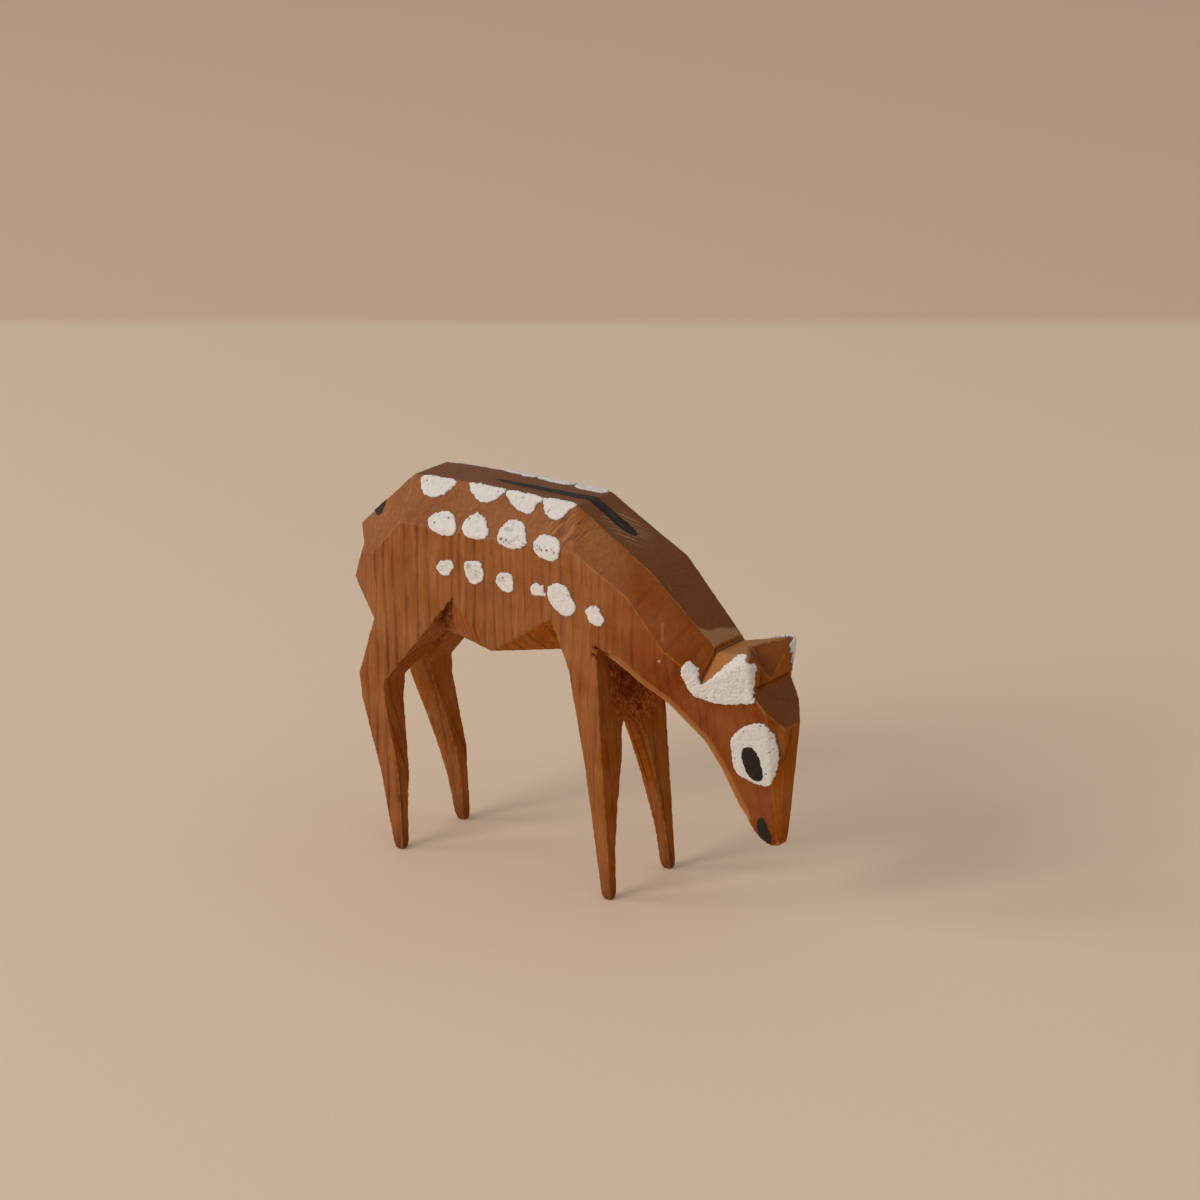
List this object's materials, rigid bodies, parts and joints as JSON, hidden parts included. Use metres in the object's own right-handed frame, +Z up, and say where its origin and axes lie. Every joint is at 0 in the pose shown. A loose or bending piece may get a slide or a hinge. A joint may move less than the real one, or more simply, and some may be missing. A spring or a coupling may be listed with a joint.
{
  "type": "carved wooden fawn figurine",
  "caption": "Knife-carved wooden fawn grazing with its head down, on four tapering legs, with raised white spots, painted eyes and a black stripe along the back.",
  "frame": {"origin": "middle of the whole animal's box in plan, on the floor under the four soles", "axes": "+X forward from tail to nose, +Y to the animal's left, +Z up"},
  "size_m": [0.0954, 0.0232, 0.0743],
  "materials": {
    "wood": "bare knife-cut wood with a faint oil sheen",
    "white_paint": "thick matt white paint",
    "black_paint": "matt blue-black paint"
  },
  "bodies": {
    "root": {"carved_body": "wood", "right_top_spot_1": "white_paint", "left_top_spot_1": "white_paint", "right_top_spot_2": "white_paint", "left_top_spot_2": "white_paint", "right_top_spot_3": "white_paint", "left_top_spot_3": "white_paint", "right_top_spot_4": "white_paint", "left_top_spot_4": "white_paint", "right_middle_spot_1": "white_paint", "left_middle_spot_1": "white_paint", "right_middle_spot_2": "white_paint", "left_middle_spot_2": "white_paint", "right_middle_spot_3": "white_paint", "left_middle_spot_3": "white_paint", "right_middle_spot_4": "white_paint", "left_middle_spot_4": "white_paint", "right_lower_spot_1": "white_paint", "left_lower_spot_1": "white_paint", "right_lower_spot_2": "white_paint", "left_lower_spot_2": "white_paint", "right_lower_spot_3": "white_paint", "left_lower_spot_3": "white_paint", "right_shoulder_spot_1": "white_paint", "left_shoulder_spot_1": "white_paint", "right_shoulder_spot_2": "white_paint", "left_shoulder_spot_2": "white_paint", "right_shoulder_spot_3": "white_paint", "left_shoulder_spot_3": "white_paint", "right_ear_white": "white_paint", "left_ear_white": "white_paint", "right_eye_white": "white_paint", "left_eye_white": "white_paint", "right_pupil": "black_paint", "left_pupil": "black_paint", "right_nostril": "black_paint", "left_nostril": "black_paint", "back_stripe": "black_paint", "tail_patch": "black_paint"}
  },
  "joints": []
}
